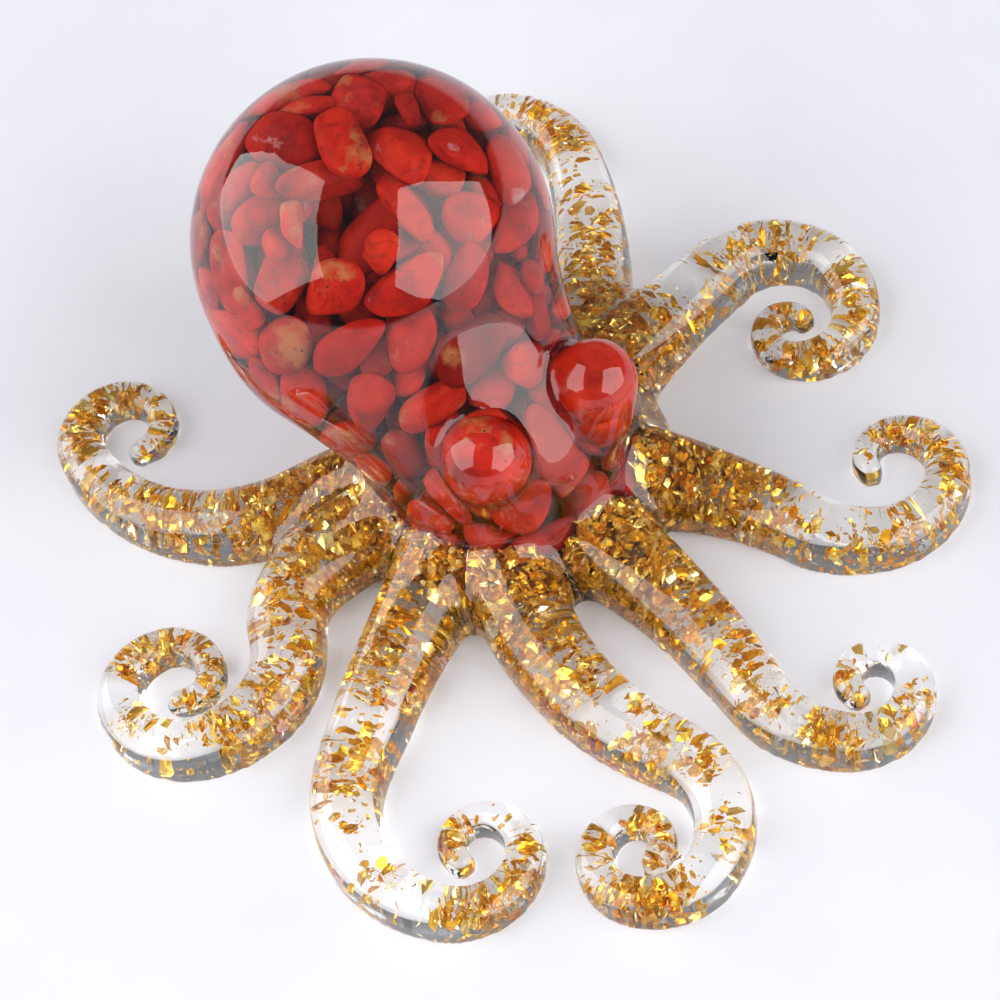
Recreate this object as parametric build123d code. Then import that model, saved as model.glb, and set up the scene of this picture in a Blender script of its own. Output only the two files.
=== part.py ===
from build123d import *
import math
import os
import random
from dataclasses import dataclass

# Octopus ornament cast in clear resin: a round head filled with tumbled stone chips,
# poured first, then a hub and eight curled arms with gold leaf, poured on top of it in
# the upside-down mould. The flat pour surface became the base that it rests on.
# Frame: +Z up, the base at Z = 0, the origin under the middle of the hub, the face
# towards -Y. Millimetres and degrees.

# Head and face
HEAD_RADIUS = 23.0
HEAD_HEIGHT = 33.5  # centre of the head above the base
HEAD_SETBACK = 21.0  # centre of the head behind the middle of the hub
FACE_RADIUS = 15.5
FACE_HEIGHT = 14.5
FACE_ADVANCE = 1.0
BODY_SIDE = -1.6  # head and face sit a little to the left of the hub
NECK_HOLLOW = 36.0  # radius of the hollow curve from head to face

# Eyes: a short post with a domed end
EYE_RADIUS = 5.5
EYE_SPACING = 17.0
EYE_HEIGHT = 25.5
EYE_ADVANCE = 10.5
EYE_POST = 9.0
EYE_SPLAY = 10.0  # lean of each post outwards
EYE_NOD = 8.0  # lean of each post forwards

# Skirt below the face, and the level where the second pour begins
SKIRT_BASE_RADIUS = 21.0
SKIRT_EDGE = 2.5
SKIRT_TOP_RADIUS = 13.0
SKIRT_TOP_HEIGHT = 22.0
SKIRT_HOLLOW = 0.8
POUR_HEIGHT = 8.0

# Arms: flat below, round above, tapering from root to tip
ARM_START = 12.0  # distance of each arm's first section from the origin
ARM_ROOT_WIDTH = 13.0
ARM_ROOT_HEIGHT = 10.0
ARM_ROOT_RISE = 4.0  # extra height of the buttress against the body
ARM_ROOT_SHARE = 0.3  # share of the arm over which the buttress dies out
ARM_TIP_WIDTH = 3.2
ARM_TIP_HEIGHT = 3.2
ARM_SHOULDER = 0.45  # upright part of a section, as a share of its height
CURL_TURN_EACH = 90.0  # turn after which a curl tightens

# Stone chips, packed in courses under the wall of the head
CHIP_WALL = 1.1  # clear resin outside the chips
CHIP_THICKNESS = 5.2
CHIP_THINNEST = 0.8  # thinnest chip, as a share of the thickest
CHIP_GAP = 0.35
LAYER_GAP = 1.2  # from one layer of chips to the next
CHIP_AREA = 60.0  # surface that one chip takes up
CHIP_REACH = 6.2  # longest half length of a chip
CHIP_NEAR = 25.0  # distance within which chips can touch
CHIP_CORNERS = 6
CHIP_TILT = 7.0
CHIP_SKEW = 0.3  # sideways share that keeps a chip's first corner off the body axis
CHIP_CROWN = 0.62  # size of a chip's two flat ends against its waist
CORE_RADIUS = 4.6  # ball on which the innermost chips lie
CORE_COUNT = 5
EYE_CHIP_RADIUS = 3.9
EYE_CHIP_THICKNESS = 5.6

# Gold leaf flakes
FLAKE_SIZE = 1.7
FLAKE_THICKNESS = 0.15
FLAKE_CORNERS = 4
FLAKE_SHORTEST = 0.55  # nearest corner of a flake, as a share of the farthest
FLAKE_UNEVEN = 25.0  # swing of a corner about its even place
FLAKE_TILT = 35.0
FLAKE_WALL = 0.9  # clear resin round a flake
FLAKES_PER_ARM = 10
HUB_FLAKES = 16
HUB_FLAKE_RADIUS = 13.5

BODY_SLICES = 240  # steps in which the body's surface is measured
ARM_STEP = 0.01  # steps in which an arm leaving the skirt is followed

CHIP_SEED = 5
FLAKE_SEED = 11
GOLDEN_ANGLE = 180.0 * (3.0 - math.sqrt(5.0))

HEAD_CENTRE = Vector(BODY_SIDE, HEAD_SETBACK, HEAD_HEIGHT)
FACE_CENTRE = Vector(BODY_SIDE, -FACE_ADVANCE, FACE_HEIGHT)
BODY_LENGTH = (FACE_CENTRE - HEAD_CENTRE).length
BODY_AXIS = (FACE_CENTRE - HEAD_CENTRE).normalized()
BODY_ACROSS = Vector(1, 0, 0)
BODY_UP = BODY_ACROSS.cross(BODY_AXIS)


@dataclass
class ArmPlan:
    """The plan of one arm: bends of the shaft, then a curl of shrinking quarter turns."""

    name: str
    bearing: float  # where it leaves the hub
    heading: float  # the way it points there
    bends: list  # (length, turn) of each bend, a left turn positive
    curl_radius: float
    tightening: float  # radius of a quarter turn against the one before it
    curl_turn: float


ARMS = [
    ArmPlan("left_rear_arm", 150, 127, [(15.5, 39), (37, -86)], 6.6, 0.80, -280),
    ArmPlan("left_arm", 172, 145, [(20, 50), (8, 49)], 13.0, 0.73, -470),
    ArmPlan("left_front_arm", 203, 200, [(35.5, 17), (26, 90)], 8.2, 0.70, 343),
    ArmPlan("front_left_arm", 234, 209, [(6.5, 40), (33, 44)], 11.5, 0.72, -475),
    ArmPlan("front_arm", 270, 285, [(34.5, -23), (14, 52)], 7.5, 0.68, 340),
    ArmPlan("right_front_arm", 312, 317, [(26.5, -29), (10, 38)], 10.0, 0.63, 304),
    ArmPlan("right_arm", 8, 18, [(29, -11), (10, -56)], 10.5, 0.66, -405),
    ArmPlan("right_rear_arm", 30, 17, [(12, 27), (31, 25), (12, 50)], 8.0, 0.74, 300),
]


def polar(radius, angle, z=0.0):
    """A point at a radius and bearing round the Z axis."""
    return Vector(radius * math.cos(math.radians(angle)), radius * math.sin(math.radians(angle)), z)


def neck_arc(inset=0.0):
    """Centre, in body-axis coordinates, and radius of the hollow neck curve, set in by an inset."""
    to_head = HEAD_RADIUS + NECK_HOLLOW
    to_face = FACE_RADIUS + NECK_HOLLOW
    along = (to_head**2 - to_face**2 + BODY_LENGTH**2) / (2 * BODY_LENGTH)
    return along, math.sqrt(to_head**2 - along**2), NECK_HOLLOW + inset


def body_radius(along, inset=0.0):
    """Radius of the head-and-face form at a distance along its axis, set in by an inset."""
    head = HEAD_RADIUS - inset
    face = FACE_RADIUS - inset
    centre, height, hollow = neck_arc(inset)
    head_end = centre * head / (HEAD_RADIUS + NECK_HOLLOW)
    face_start = BODY_LENGTH + (centre - BODY_LENGTH) * face / (FACE_RADIUS + NECK_HOLLOW)
    if along < head_end:
        return math.sqrt(max(head**2 - along**2, 0.0))
    if along < face_start:
        return height - math.sqrt(hollow**2 - (along - centre) ** 2)
    return math.sqrt(max(face**2 - (along - BODY_LENGTH) ** 2, 0.0))


def pear():
    """Head ball, hollow neck and face ball, turned about the leaning body axis."""
    centre, height, _ = neck_arc()
    head_end = Vector(centre, height) * (HEAD_RADIUS / (HEAD_RADIUS + NECK_HOLLOW))
    face_middle = Vector(BODY_LENGTH, 0)
    neck_middle = Vector(centre, height)
    face_start = face_middle + (neck_middle - face_middle).normalized() * FACE_RADIUS
    neck_low = (head_end + face_start) * 0.5 - neck_middle
    neck_point = neck_middle + neck_low.normalized() * NECK_HOLLOW
    nose = Vector(BODY_LENGTH + FACE_RADIUS, 0)
    face_turn = (face_start - face_middle).normalized() + Vector(1, 0)
    outline = [
        ThreePointArc((-HEAD_RADIUS, 0), (0, HEAD_RADIUS), head_end),
        ThreePointArc(head_end, neck_point, face_start),
        ThreePointArc(face_start, face_middle + face_turn.normalized() * FACE_RADIUS, nose),
        Line(nose, (-HEAD_RADIUS, 0)),
    ]
    half = Plane(HEAD_CENTRE, x_dir=BODY_AXIS, z_dir=BODY_ACROSS) * make_face(outline)
    return revolve(half, Axis(HEAD_CENTRE, BODY_AXIS), 360)


def skirt():
    """The flared skirt from face to base, turned about the upright axis."""
    rim = (SKIRT_BASE_RADIUS, SKIRT_EDGE)
    top = (SKIRT_TOP_RADIUS, SKIRT_TOP_HEIGHT)
    outline = [
        Polyline((0, SKIRT_TOP_HEIGHT), (0, 0), (SKIRT_BASE_RADIUS, 0), rim),
        SagittaArc(rim, top, SKIRT_HOLLOW),
        Line(top, (0, SKIRT_TOP_HEIGHT)),
    ]
    return revolve(Plane.XZ * make_face(outline), Axis.Z, 360)


def eye_frame(side):
    """Plane at the centre of an eye's dome, its Z along the post, side -1 left and +1 right."""
    centre = Vector(side * EYE_SPACING / 2, -EYE_ADVANCE, EYE_HEIGHT)
    lean = Vector(side * math.tan(math.radians(EYE_SPLAY)), -math.tan(math.radians(EYE_NOD)), 1)
    return Plane(centre, x_dir=(0, 1, 0), z_dir=lean.normalized())


def eye(side):
    """One eye: a post sunk in the face with a domed end."""
    post = Cylinder(EYE_RADIUS, EYE_POST, align=(Align.CENTER, Align.CENTER, Align.MAX))
    return eye_frame(side) * (post + Sphere(EYE_RADIUS))


def arm_bends(plan):
    """Every bend of an arm from root to tip, as (length, turn)."""
    bends = list(plan.bends)
    hand = math.copysign(1.0, plan.curl_turn)
    left = abs(plan.curl_turn)
    radius = plan.curl_radius
    while left > 0:
        turn = min(left, CURL_TURN_EACH)
        bends.append((math.radians(turn) * radius, hand * turn))
        left -= turn
        radius *= plan.tightening
    return bends


def arm_runs(plan):
    """The bends of an arm from root to tip, as (arc, heading, turn, first share, last share)."""
    bends = arm_bends(plan)
    total = sum(length for length, _ in bends)
    point = polar(ARM_START, plan.bearing)
    heading = plan.heading
    run = 0.0
    runs = []
    for length, turn in bends:
        arc = JernArc(point, polar(1, heading), length / math.radians(abs(turn)), turn)
        runs.append((arc, heading, turn, run / total, (run + length) / total))
        point = arc @ 1
        heading += turn
        run += length
    return runs


def arm_place(runs, share):
    """Point and heading on an arm's middle line at a share of its length."""
    for arc, heading, turn, first, last in runs:
        if share <= last:
            break
    part = (share - first) / (last - first)
    return arc @ part, heading + turn * part


def arm_size(share):
    """Width and height of an arm's section at a share of its length."""
    width = ARM_ROOT_WIDTH + (ARM_TIP_WIDTH - ARM_ROOT_WIDTH) * share
    height = ARM_ROOT_HEIGHT + (ARM_TIP_HEIGHT - ARM_ROOT_HEIGHT) * share
    buttress = max(0.0, 1.0 - share / ARM_ROOT_SHARE)
    return width, height + ARM_ROOT_RISE * buttress**2


def arm_section(point, heading, share):
    """One section of an arm: flat below, upright shoulders, round above."""
    width, height = arm_size(share)
    shoulder = ARM_SHOULDER * height
    outline = [
        Polyline((-width / 2, shoulder), (-width / 2, 0), (width / 2, 0), (width / 2, shoulder)),
        ThreePointArc((width / 2, shoulder), (0, height), (-width / 2, shoulder)),
    ]
    across = polar(1, heading + 90)
    return Plane(point, x_dir=across, z_dir=polar(1, heading)) * make_face(outline)


def arm_tip(point, heading):
    """The rounded end of an arm: half the last section, turned half round."""
    width, height = arm_size(1.0)
    shoulder = ARM_SHOULDER * height
    half = [
        Polyline((0, height), (0, 0), (width / 2, 0), (width / 2, shoulder)),
        ThreePointArc(
            (width / 2, shoulder),
            tip_arc_point(width, height, shoulder),
            (0, height),
        ),
    ]
    plane = Plane(point, x_dir=polar(1, heading - 90), z_dir=polar(-1, heading))
    return revolve(plane * make_face(half), Axis(point, (0, 0, 1)), 180)


def tip_arc_point(width, height, shoulder):
    """A point on the round top of a section, between its shoulder and its crest."""
    rise = height - shoulder
    radius = (width**2 / 4 + rise**2) / (2 * rise)
    middle = height - radius
    angle = (math.atan2(shoulder - middle, width / 2) + math.pi / 2) / 2
    return radius * math.cos(angle), middle + radius * math.sin(angle)


def arm(plan):
    """One whole arm: each bend swept from section to section, and a round tip."""
    bends = []
    for arc, heading, turn, first, last in arm_runs(plan):
        sections = []
        for part in (0.0, 0.5, 1.0):
            share = first + (last - first) * part
            section = arm_section(arc @ part, heading + turn * part, share)
            sections.append(section.face().outer_wire())
        bends.append(Solid.sweep_multi(sections, Wire([arc.edge()])))
    return bends[0].fuse(*bends[1:], arm_tip(arc @ 1, heading + turn).solid())


@dataclass
class Chip:
    """A faceted pebble: a waist polygon between two smaller, flat ends."""

    rings: list
    normal: Vector

    def points(self):
        return [point for ring in self.rings for point in ring]

    def middle(self):
        return sum(self.rings[1], Vector()) / len(self.rings[1])

    def solid(self):
        wires = [Wire.make_polygon(ring, close=True) for ring in self.rings]
        return Solid.make_loft(wires, ruled=True)

    def clear_of(self, other):
        """Whether a gap shows between two chips along either one's normal or their middle line."""
        for axis in (self.normal, other.normal, (other.middle() - self.middle()).normalized()):
            mine = [point.dot(axis) for point in self.points()]
            theirs = [point.dot(axis) for point in other.points()]
            if max(min(mine) - max(theirs), min(theirs) - max(mine)) >= CHIP_GAP / 2:
                return True
        return False


def cushion(frame, radii, thickness):
    """A chip lying in a frame, with the given half lengths towards its corners."""
    turn = 360.0 / len(radii)
    rings = []
    for level, scale in [(-thickness / 2, CHIP_CROWN), (0.0, 1.0), (thickness / 2, CHIP_CROWN)]:
        corners = [polar(radius * scale, turn * i, level) for i, radius in enumerate(radii)]
        rings.append([frame.from_local_coords(corner) for corner in corners])
    return Chip(rings, frame.z_dir)


def spiral_seats(inset):
    """Evenly spread seats on the body form set in by an inset: (point, outward normal)."""
    first = -(HEAD_RADIUS - inset)
    last = BODY_LENGTH + FACE_RADIUS - inset
    step = (last - first) / BODY_SLICES
    areas = []
    for i in range(BODY_SLICES):
        near = body_radius(first + i * step, inset)
        far = body_radius(first + (i + 1) * step, inset)
        areas.append(math.pi * (near + far) * math.hypot(step, far - near))
    count = max(1, round(sum(areas) / CHIP_AREA))
    seats = []
    passed = 0.0
    index = 0
    for i, area in enumerate(areas):
        while index < count and (index + 0.5) * sum(areas) / count <= passed + area:
            along = first + (i + ((index + 0.5) * sum(areas) / count - passed) / area) * step
            radius = body_radius(along, inset)
            slope = (body_radius(along + step, inset) - body_radius(along - step, inset)) / (2 * step)
            around = math.radians(GOLDEN_ANGLE * index)
            out = BODY_ACROSS * math.cos(around) + BODY_UP * math.sin(around)
            point = HEAD_CENTRE + BODY_AXIS * along + out * radius
            seats.append((point, (out - BODY_AXIS * slope).normalized(), along))
            index += 1
        passed += area
    return seats


def chip_radii(frame, point, others):
    """Half lengths of a chip towards its corners, each short of half way to any neighbour."""
    near = [frame.to_local_coords(other) for other in others if (other - point).length < CHIP_NEAR]
    radii = []
    for i in range(CHIP_CORNERS):
        reach = CHIP_REACH
        towards = polar(1, 360.0 / CHIP_CORNERS * i)
        for local in near:
            flat = Vector(local.X, local.Y)
            facing = towards.dot(flat) / flat.length
            if facing > 0:
                reach = min(reach, (local.length - CHIP_GAP) / 2 / facing)
        radii.append(reach)
    return radii


def course(inset, draw, placed):
    """All chips of one layer under the wall that find room, as (chip, place along the body axis)."""
    seats = spiral_seats(inset)
    chips = []
    for i, (point, normal, along) in enumerate(seats):
        others = [seat[0] for j, seat in enumerate(seats) if j != i]
        frame = Plane(point, x_dir=normal.cross(BODY_AXIS + BODY_ACROSS * CHIP_SKEW), z_dir=normal)
        frame = frame.rotated((0, 0, draw.uniform(0, 360.0 / CHIP_CORNERS)))
        radii = chip_radii(frame, point, others)
        lean = (draw.uniform(-CHIP_TILT, CHIP_TILT), draw.uniform(-CHIP_TILT, CHIP_TILT), 0)
        thickness = CHIP_THICKNESS * draw.uniform(CHIP_THINNEST, 1.0)
        chip = cushion(frame.rotated(lean), radii, thickness)
        if has_room(chip, placed):
            chips.append((chip, along))
    return chips


def has_room(chip, placed):
    """Whether a chip lies above the second pour and clear of the other layers' chips."""
    if min(point.Z for point in chip.points()) < POUR_HEIGHT + CHIP_WALL:
        return False
    near = [other for other in placed if (other.middle() - chip.middle()).length < CHIP_NEAR]
    return all(chip.clear_of(other) for other in near)


def core_chips(placed):
    """The few chips in the very middle of the head."""
    chips = []
    for i in range(CORE_COUNT):
        height = CORE_RADIUS * (1 - 2 * (i + 0.5) / CORE_COUNT)
        out = polar(math.sqrt(CORE_RADIUS**2 - height**2), GOLDEN_ANGLE * i, height)
        frame = Plane(HEAD_CENTRE + out, x_dir=(0, 0, 1), z_dir=out.normalized())
        spacing = CORE_RADIUS * math.sqrt(4 * math.pi / CORE_COUNT)
        chip = cushion(frame, [spacing / 2 - CHIP_GAP] * CHIP_CORNERS, CORE_RADIUS)
        if has_room(chip, placed):
            chips.append(chip)
    return chips


def eye_chip(side):
    """The one chip that fills an eye."""
    radii = [EYE_CHIP_RADIUS] * CHIP_CORNERS
    return cushion(eye_frame(side), radii, EYE_CHIP_THICKNESS)


def flake(point, draw):
    """One thin, uneven leaf of gold, lying nearly level."""
    corners = []
    for i in range(FLAKE_CORNERS):
        radius = FLAKE_SIZE * draw.uniform(FLAKE_SHORTEST, 1.0) / 2
        swing = draw.uniform(-FLAKE_UNEVEN, FLAKE_UNEVEN)
        corners.append(polar(radius, 360.0 / FLAKE_CORNERS * i + swing))
    outline = Wire.make_polygon(corners, close=True)
    leaf = extrude(Face(outline), FLAKE_THICKNESS)
    lean = (draw.uniform(-FLAKE_TILT, FLAKE_TILT), draw.uniform(-FLAKE_TILT, FLAKE_TILT))
    return Plane(point).rotated((*lean, draw.uniform(0, 360))) * leaf


def arm_flakes(plan, draw):
    """Gold leaf along one arm, from the edge of the skirt to the tip."""
    runs = arm_runs(plan)
    first = 0.0
    while arm_place(runs, first)[0].length < SKIRT_BASE_RADIUS + FLAKE_SIZE:
        first += ARM_STEP
    leaves = []
    for i in range(FLAKES_PER_ARM):
        share = first + (1 - first) * (i + 0.5) / FLAKES_PER_ARM
        point, heading = arm_place(runs, share)
        width, height = arm_size(share)
        room = max(0.0, width / 2 - FLAKE_SIZE / 2 - FLAKE_WALL)
        aside = polar(draw.uniform(-room, room), heading + 90)
        low = FLAKE_WALL + FLAKE_SIZE / 2
        level = draw.uniform(low, max(low, ARM_SHOULDER * height))
        leaves.append(flake(point + aside + Vector(0, 0, min(level, height / 2)), draw))
    return leaves


def hub_flakes(draw):
    """Gold leaf in the hub, under the stones."""
    leaves = []
    for i in range(HUB_FLAKES):
        radius = HUB_FLAKE_RADIUS * math.sqrt((i + 0.5) / HUB_FLAKES)
        level = draw.uniform(FLAKE_WALL + FLAKE_SIZE / 2, POUR_HEIGHT - FLAKE_WALL - FLAKE_SIZE / 2)
        leaves.append(flake(polar(radius, GOLDEN_ANGLE * i, level), draw))
    return leaves


def build():
    """Every node of the ornament by name, each a list of solids."""
    nodes = {}
    chip_draw = random.Random(CHIP_SEED)
    flake_draw = random.Random(FLAKE_SEED)

    outer_inset = CHIP_WALL + CHIP_THICKNESS / 2
    inner_inset = outer_inset + CHIP_THICKNESS + LAYER_GAP
    neck_start = HEAD_RADIUS * neck_arc()[0] / (HEAD_RADIUS + NECK_HOLLOW)
    zones = [
        ("crown_chips", -HEAD_RADIUS, -HEAD_RADIUS / 2),
        ("upper_head_chips", -HEAD_RADIUS / 2, 0.0),
        ("lower_head_chips", 0.0, neck_start),
        ("neck_chips", neck_start, BODY_LENGTH),
        ("face_chips", BODY_LENGTH, BODY_LENGTH + FACE_RADIUS),
    ]
    eye_chips = {"left_eye_chip": [eye_chip(-1)], "right_eye_chip": [eye_chip(1)]}
    placed = eye_chips["left_eye_chip"] + eye_chips["right_eye_chip"]
    outer = course(outer_inset, chip_draw, placed)
    placed += [chip for chip, _ in outer]
    inner = [chip for chip, _ in course(inner_inset, chip_draw, placed)]
    core = core_chips(placed + inner)
    groups = {name: [chip for chip, along in outer if start <= along < end] for name, start, end in zones}
    groups |= eye_chips | {"inner_chips": inner, "core_chips": core}
    for name, group in groups.items():
        nodes[name] = [chip.solid() for chip in group]
    chips = [solid for group in nodes.values() for solid in group]

    wide = 4 * (HEAD_SETBACK + HEAD_RADIUS)
    below = Pos(0, 0, POUR_HEIGHT) * Box(wide, wide, wide, align=(Align.CENTER, Align.CENTER, Align.MAX))
    flare = skirt()
    mantle = (pear() - below) + (flare - below) + eye(-1) + eye(1)
    hub = flare & below

    arms = {}
    taken = [mantle, hub]
    for plan in ARMS:
        arms[plan.name] = arm(plan) - taken
        taken.append(arms[plan.name])

    nodes["mantle"] = [mantle - chips]
    leaves = hub_flakes(flake_draw)
    nodes["hub"] = [hub - leaves]
    nodes["hub_gold_leaf"] = leaves
    for plan in ARMS:
        leaves = arm_flakes(plan, flake_draw)
        nodes[plan.name] = [arms[plan.name] - leaves]
        nodes[plan.name + "_gold_leaf"] = leaves
    return nodes


def solids_of(shapes):
    """The plain solids in a list of shapes."""
    return [solid for shape in shapes for solid in shape.solids()]


os.makedirs("parts", exist_ok=True)
for name, shapes in build().items():
    solids = solids_of(shapes)
    export_step(solids[0] if len(solids) == 1 else Compound(solids), f"parts/{name}.step")
    print(name, len(solids))
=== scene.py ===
# %% [markdown]
# # A clear octopus cast over red jasper
#
# The ornament is one rigid casting of clear resin. Its head is packed with tumbled red
# jasper, and its eight curled arms carry crumpled gold leaf. The imported model gives the
# sizes and places of every piece; this lesson gives them their looks. The model is loaded
# first.

# %% Load the frame
import math

import bmesh
import bpy
import numpy as np
from mathutils import Matrix, Vector
from mathutils.bvhtree import BVHTree


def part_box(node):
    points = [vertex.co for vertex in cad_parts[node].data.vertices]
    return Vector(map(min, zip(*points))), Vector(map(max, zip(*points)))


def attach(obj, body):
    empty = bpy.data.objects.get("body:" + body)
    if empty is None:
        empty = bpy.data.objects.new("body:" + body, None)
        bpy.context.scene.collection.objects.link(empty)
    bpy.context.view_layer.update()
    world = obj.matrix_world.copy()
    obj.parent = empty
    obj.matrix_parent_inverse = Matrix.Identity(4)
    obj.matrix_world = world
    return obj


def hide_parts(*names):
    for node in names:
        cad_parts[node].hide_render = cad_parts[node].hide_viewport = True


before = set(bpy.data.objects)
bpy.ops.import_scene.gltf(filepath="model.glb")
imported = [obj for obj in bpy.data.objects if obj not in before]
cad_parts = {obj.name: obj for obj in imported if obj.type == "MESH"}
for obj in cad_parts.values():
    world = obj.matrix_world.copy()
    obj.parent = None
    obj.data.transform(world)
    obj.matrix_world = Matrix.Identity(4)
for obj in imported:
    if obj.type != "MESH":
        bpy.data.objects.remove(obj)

MM = 0.001
scene = bpy.context.scene
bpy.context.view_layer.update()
NODES = sorted(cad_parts)
ARMS = [name for name in NODES if name.endswith("_arm")]
GOLD_NODES = [name for name in NODES if name.endswith("_gold_leaf")]
STONE_NODES = [name for name in NODES if name.endswith(("_chips", "_chip"))]

# %% [markdown]
# ## Camera
#
# The picture is taken from above and a little to the left, with a long lens, so the arms
# keep their true proportions. The camera is also rolled, which tips the head to the left.
# One could place it by eye, but a turn about Z, a tilt and a roll, multiplied in that
# order, say exactly how it stands.

# %% Place the camera
AIM = Vector((-3.3, 0.2, 0)) * MM
DISTANCE = 468.75 * MM
TURN, ELEVATION, ROLL = -24.4, 54, -15
LENS, SENSOR = 129.6, 36

turn = Matrix.Rotation(math.radians(TURN), 4, "Z")
tilt = Matrix.Rotation(math.radians(90 - ELEVATION), 4, "X")
roll = Matrix.Rotation(math.radians(ROLL), 4, "Z")
facing = turn @ tilt @ roll
backward = facing @ Vector((0, 0, 1))

camera_data = bpy.data.cameras.new("camera")
camera_data.lens = LENS
camera_data.sensor_width = SENSOR
camera = bpy.data.objects.new("camera", camera_data)
camera.matrix_world = Matrix.Translation(AIM + backward * DISTANCE) @ facing
scene.collection.objects.link(camera)
scene.camera = camera
print("camera at", [round(v / MM) for v in camera.matrix_world.translation], "mm")

# %% [markdown]
# ## The resin casting
#
# The head, the hub and the arms are one continuous pour, so light must not meet any wall
# between them. Boolean unions of ten curved solids often fail, and leave sharp creases.
# A voxel remesh joins them surely: each solid is swelled a little so that they overlap,
# the whole is remeshed, and smoothing then melts the creases into the soft fillets that a
# silicone mould gives. The stones and leaf sit in pockets of the solids, and those inner
# shells are left out, because resin wets what it holds.

# %% Outer shells of the solids
MERGE = 0.002 * MM


def merged_copy(node):
    """The node's triangles, joined at their corners, as a new bmesh."""
    mesh = bmesh.new()
    mesh.from_mesh(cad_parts[node].data)
    bmesh.ops.remove_doubles(mesh, verts=mesh.verts, dist=MERGE)
    return mesh


def shells(mesh):
    """The connected parts of a bmesh, each as a list of faces."""
    parts, seen = [], set()
    for first in mesh.faces:
        if first in seen:
            continue
        seen.add(first)
        part, front = [], [first]
        while front:
            face = front.pop()
            part.append(face)
            for edge in face.edges:
                for near in edge.link_faces:
                    if near not in seen:
                        seen.add(near)
                        front.append(near)
        parts.append(part)
    return parts


def reach(faces):
    """Length of the diagonal of the box round some faces."""
    points = np.array([corner.co for face in faces for corner in face.verts])
    return float(np.linalg.norm(np.ptp(points, axis=0)))


def outer_shell(node):
    """The node as a bmesh with only its outermost shell."""
    mesh = merged_copy(node)
    parts = sorted(shells(mesh), key=reach)
    inner = [face for part in parts[:-1] for face in part]
    bmesh.ops.delete(mesh, geom=inner, context="FACES")
    return mesh


def add_object(name, mesh):
    """A new object of that mesh, at the origin."""
    piece = bpy.data.objects.new(name, mesh)
    scene.collection.objects.link(piece)
    return piece


def evaluated_mesh(piece):
    """What the object's modifiers make of it, as a plain mesh."""
    graph = bpy.context.evaluated_depsgraph_get()
    return bpy.data.meshes.new_from_object(piece.evaluated_get(graph))


# %% Join the solids
SWELL = 0.25 * MM
VOXEL = 0.62 * MM


def swelled(node):
    """The node's outer shell, moved outwards by the swell."""
    mesh = outer_shell(node)
    mesh.normal_update()
    moves = [vert.normal * SWELL for vert in mesh.verts]
    for vert, move in zip(mesh.verts, moves):
        vert.co += move
    return mesh


joined = bmesh.new()
for node in ["mantle", "hub"] + ARMS:
    part = swelled(node)
    holder = bpy.data.meshes.new("part")
    part.to_mesh(holder)
    joined.from_mesh(holder)
    part.free()
    bpy.data.meshes.remove(holder)
rough_mesh = bpy.data.meshes.new("rough_casting")
joined.to_mesh(rough_mesh)
joined.free()

casting = add_object("resin_casting", rough_mesh)
remesh = casting.modifiers.new("one_skin", "REMESH")
remesh.mode = "VOXEL"
remesh.voxel_size = VOXEL
skin = evaluated_mesh(casting)
casting.modifiers.remove(remesh)
print("one skin:", len(skin.vertices), "points")

# %% [markdown]
# The remeshed skin has voxel steps and hard creases. Plain smoothing would melt them, but
# it would thin the arm tips as well. Taubin's method takes a step inwards and a slightly
# longer one outwards, which removes the steps and keeps the volume. Near the hub, where
# the mould has wide fillets, plain steps are added. The neck of the real casting flares
# more to the left than the plain solid does. A soft pull, strongest in its middle and
# fading to nothing, draws it out there, and later takes the stones and leaf along.

# %% Smooth the skin
EVEN_ROUNDS, FILLET_ROUNDS = 14, 22
STEP_IN, STEP_OUT = 0.5, -0.52
FILLET_REACH = (30 * MM, 40 * MM)
FILLET_TOP = (24 * MM, 30 * MM)
FLARE = np.array((-2.0, -0.2, -0.7)) * MM
FLARE_MIDDLE = np.array((-20.5, 11, 22)) * MM
FLARE_REACH = 20 * MM


def points_of(mesh):
    """The mesh's vertices as an array of rows."""
    flat = np.empty(len(mesh.vertices) * 3)
    mesh.vertices.foreach_get("co", flat)
    return flat.reshape(-1, 3)


def edges_of(mesh):
    """The mesh's edges as an array of pairs."""
    flat = np.empty(len(mesh.edges) * 2, np.int64)
    mesh.edges.foreach_get("vertices", flat)
    return flat.reshape(-1, 2)


def neighbour_offset(points, edges):
    """From each point to the mean of its neighbours."""
    first, second = edges.T
    count = np.bincount(edges.ravel(), minlength=len(points))
    total = np.stack([np.bincount(first, points[second, k], len(points))
                      + np.bincount(second, points[first, k], len(points))
                      for k in range(3)], axis=1)
    return total / count[:, None] - points


def fade(values, start, end):
    """1 below the start, 0 past the end, and even between."""
    return np.clip((end - values) / (end - start), 0, 1)


def flared(spots):
    """The points, with those at the left of the neck drawn out."""
    far = np.linalg.norm(spots - FLARE_MIDDLE, axis=1) / FLARE_REACH
    return spots + FLARE * np.clip(1 - far ** 2, 0, 1)[:, None] ** 2


points = points_of(skin)
edges = edges_of(skin)
for _ in range(EVEN_ROUNDS):
    points += STEP_IN * neighbour_offset(points, edges)
    points += STEP_OUT * neighbour_offset(points, edges)
middle = np.linalg.norm(points[:, :2], axis=1)
fillet = fade(middle, *FILLET_REACH) * fade(points[:, 2], *FILLET_TOP)
for _ in range(FILLET_ROUNDS):
    points += STEP_IN * fillet[:, None] * neighbour_offset(points, edges)

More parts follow.
